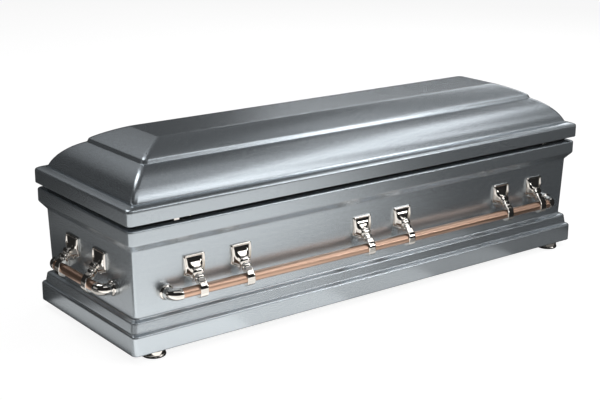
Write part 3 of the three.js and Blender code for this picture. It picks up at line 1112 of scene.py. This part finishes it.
stand_for(body_shell, lacquer, "paint", "casket_body")
stand_for(lid_shell, lacquer, "paint", "casket_lid")
stand_for(gasket, rubber, "rubber", "lid_gasket")
for bright_pieces in (brackets, tips, feet, catches):
    for name, piece in bright_pieces.items():
        stand_for(piece, nickel, slot_of[name], name)
for name, piece in bars.items():
    stand_for(piece, end_copper if "end" in name else copper, slot_of[name], name)
print("dressed", 3 + len(brackets) + len(tips) + len(feet) + len(catches) + len(bars), "pieces")

# %% [markdown]
# ## The floor
# The casket is shown on plain near-white with no horizon. A wide plane that glows evenly gives
# that. It is left out of the reflections and throws no light, because a floor this large would
# drown the mirrored cards that shape the paint. Those are set out one by one below.

# %% Floor
FLOOR_HALF = 60
FLOOR_TONE = (0.35, 0.35, 0.35)
FLOOR_GLOW = 0.9
bpy.ops.mesh.primitive_plane_add(size=2, location=(0, 0, 0))
floor = bpy.context.active_object
floor.name = "studio_floor"
floor.scale = (FLOOR_HALF, FLOOR_HALF, 1)
apply_place(floor)
floor.visible_glossy = False
floor.visible_shadow = False
floor.visible_diffuse = False
floor_finish, tree, shader = new_finish("floor_white", FLOOR_TONE, metallic=0.0, roughness=0.9)
shader.inputs["Emission Color"].default_value = (1, 1, 1, 1)
shader.inputs["Emission Strength"].default_value = FLOOR_GLOW
dress(floor, floor_finish)
print("floor", [round(v) for v in floor.dimensions])

# %% [markdown]
# ## Softboxes
# A metallic paint shows mostly what it mirrors, so each light is there for one stretch of it. A
# long softbox and two beside it draw the bright streak along the dome, a small strong one is the
# window that the castings glint with, others fill the top, the back and the end. All stand at the
# same distance, given by a direction, because that is how a reflection is aimed.

# %% Softboxes
AIM = Vector((0, 0, 0.35))
SOFTBOX_FAR = 7.0


def soft_light(name, place, target, width, height, radiance, color=(1, 1, 1)):
    """A rectangular soft light of this brightness that faces a point."""
    bpy.ops.object.light_add(type="AREA", location=place)
    light = bpy.context.active_object
    light.name = name
    light.data.shape = "RECTANGLE"
    light.data.size = width
    light.data.size_y = height
    light.data.energy = radiance * math.pi * width * height
    light.data.color = color
    aim = (Vector(target) - Vector(place)).to_track_quat("-Z", "Y")
    light.rotation_euler = aim.to_euler()
    light.visible_camera = False
    return light


def softbox(name, azimuth, elevation, width, height, radiance):
    """A softbox that far away in this direction: azimuth from the front towards the right end."""
    a, e = math.radians(azimuth), math.radians(elevation)
    way = Vector((math.sin(a) * math.cos(e), -math.cos(a) * math.cos(e), math.sin(e)))
    return soft_light(name, AIM + way * SOFTBOX_FAR, AIM, width, height, radiance)


# Azimuth and elevation in degrees, width and height in metres, brightness
softboxes = {
    "long_softbox": (65, 48, 4.8, 1.2, 2.05),
    "front_softbox": (32, 32, 2.2, 2.4, 2.35),
    "streak_softbox": (58, 38, 1.0, 1.2, 2.1),
    "window_softbox": (38, 12, 1.2, 1.0, 9.0),
    "upper_softbox": (20, 48, 2.4, 2.4, 0.65),
    "high_softbox": (70, 62, 2.4, 2.4, 0.35),
    "side_softbox": (102, 52, 2.4, 1.2, 0.6),
    "back_softbox": (125, 28, 5.0, 1.2, 2.8),
    "top_softbox": (-157, 58, 2.4, 2.4, 4.0),
    "crown_softbox": (-22, 62, 4.8, 2.4, 0.9),
    "end_softbox": (-112, 18, 4.8, 2.4, 0.35),
    "rear_softbox": (-175, 38, 4.8, 2.4, 0.2),
}
for name, settings in softboxes.items():
    softbox(name, *settings)
print("softboxes", len(softboxes))

# %% [markdown]
# ## Cards on the floor
# The wall leans in towards its foot, so it looks down a little and mirrors the floor in front of
# it. Glowing cards lie there in rows, bright at the left and fading out towards the right, and the
# side shades off with them.
# The fade could be painted on one card, but a few steps of even cards blur into the same ramp in a
# paint this rough, and each stays easy to set.

# %% Cards on the floor
CARD_COLOR = (1.0, 0.985, 0.96)
CARD_HEIGHT = 0.004
CARDS_LEFT = -3.2
CARDS_END = -1.4
CASKET_FRONT = -0.37
FADE_STEPS = 5


def card_on_floor(name, left, right, front, back, radiance):
    """A glowing card between these edges that lies on the floor and faces up."""
    x, y = (left + right) / 2, (front + back) / 2
    place, above = (x, y, CARD_HEIGHT), (x, y, 1)
    soft_light(name, place, above, right - left, back - front, radiance, CARD_COLOR)


# Front and back edge of a row, where it starts and stops fading, and its brightness before that
card_rows = [
    (-2.8, -1.7, 0.9, 1.5, 1.1),
    (-1.7, -1.0, 0.3, 1.1, 1.1),
    (-1.0, -0.62, -0.5, 0.8, 1.1),
    (-0.62, CASKET_FRONT, -1.0, 1.2, 1.45),
]
for row, (front, back, fade_start, fade_stop, radiance) in enumerate(card_rows):
    card_on_floor(f"row_{row}", CARDS_LEFT, fade_start, front, back, radiance)
    step = (fade_stop - fade_start) / FADE_STEPS
    for i in range(FADE_STEPS):
        left = fade_start + i * step
        share = 1 - (i + 0.5) / FADE_STEPS
        card_on_floor(f"row_{row}_fade_{i}", left, left + step, front, back, radiance * share)
card_on_floor("end_card", CARDS_END, -1.1, CASKET_FRONT, 0.35, radiance=0.6)
card_on_floor("far_end_card", CARDS_LEFT, CARDS_END, CASKET_FRONT, 1.3, radiance=0.16)
print("lights", len(bpy.data.lights))

# %% [markdown]
# ## Air and view
# The world around the studio is almost black, so that the paint falls off to dark wherever no light
# is mirrored, and only a trace of light keeps it from going quite black. The Standard view shows
# the colours as they were set, without a film curve over them.

# %% World
AIR_GLOW = 0.02
world = bpy.data.worlds.new("studio_air")
world.use_nodes = True
world.node_tree.nodes["Background"].inputs["Color"].default_value = (1, 1, 1, 1)
world.node_tree.nodes["Background"].inputs["Strength"].default_value = AIR_GLOW
bpy.context.scene.world = world
bpy.context.scene.view_settings.view_transform = "Standard"
print("world", world.name, "glow", AIR_GLOW)
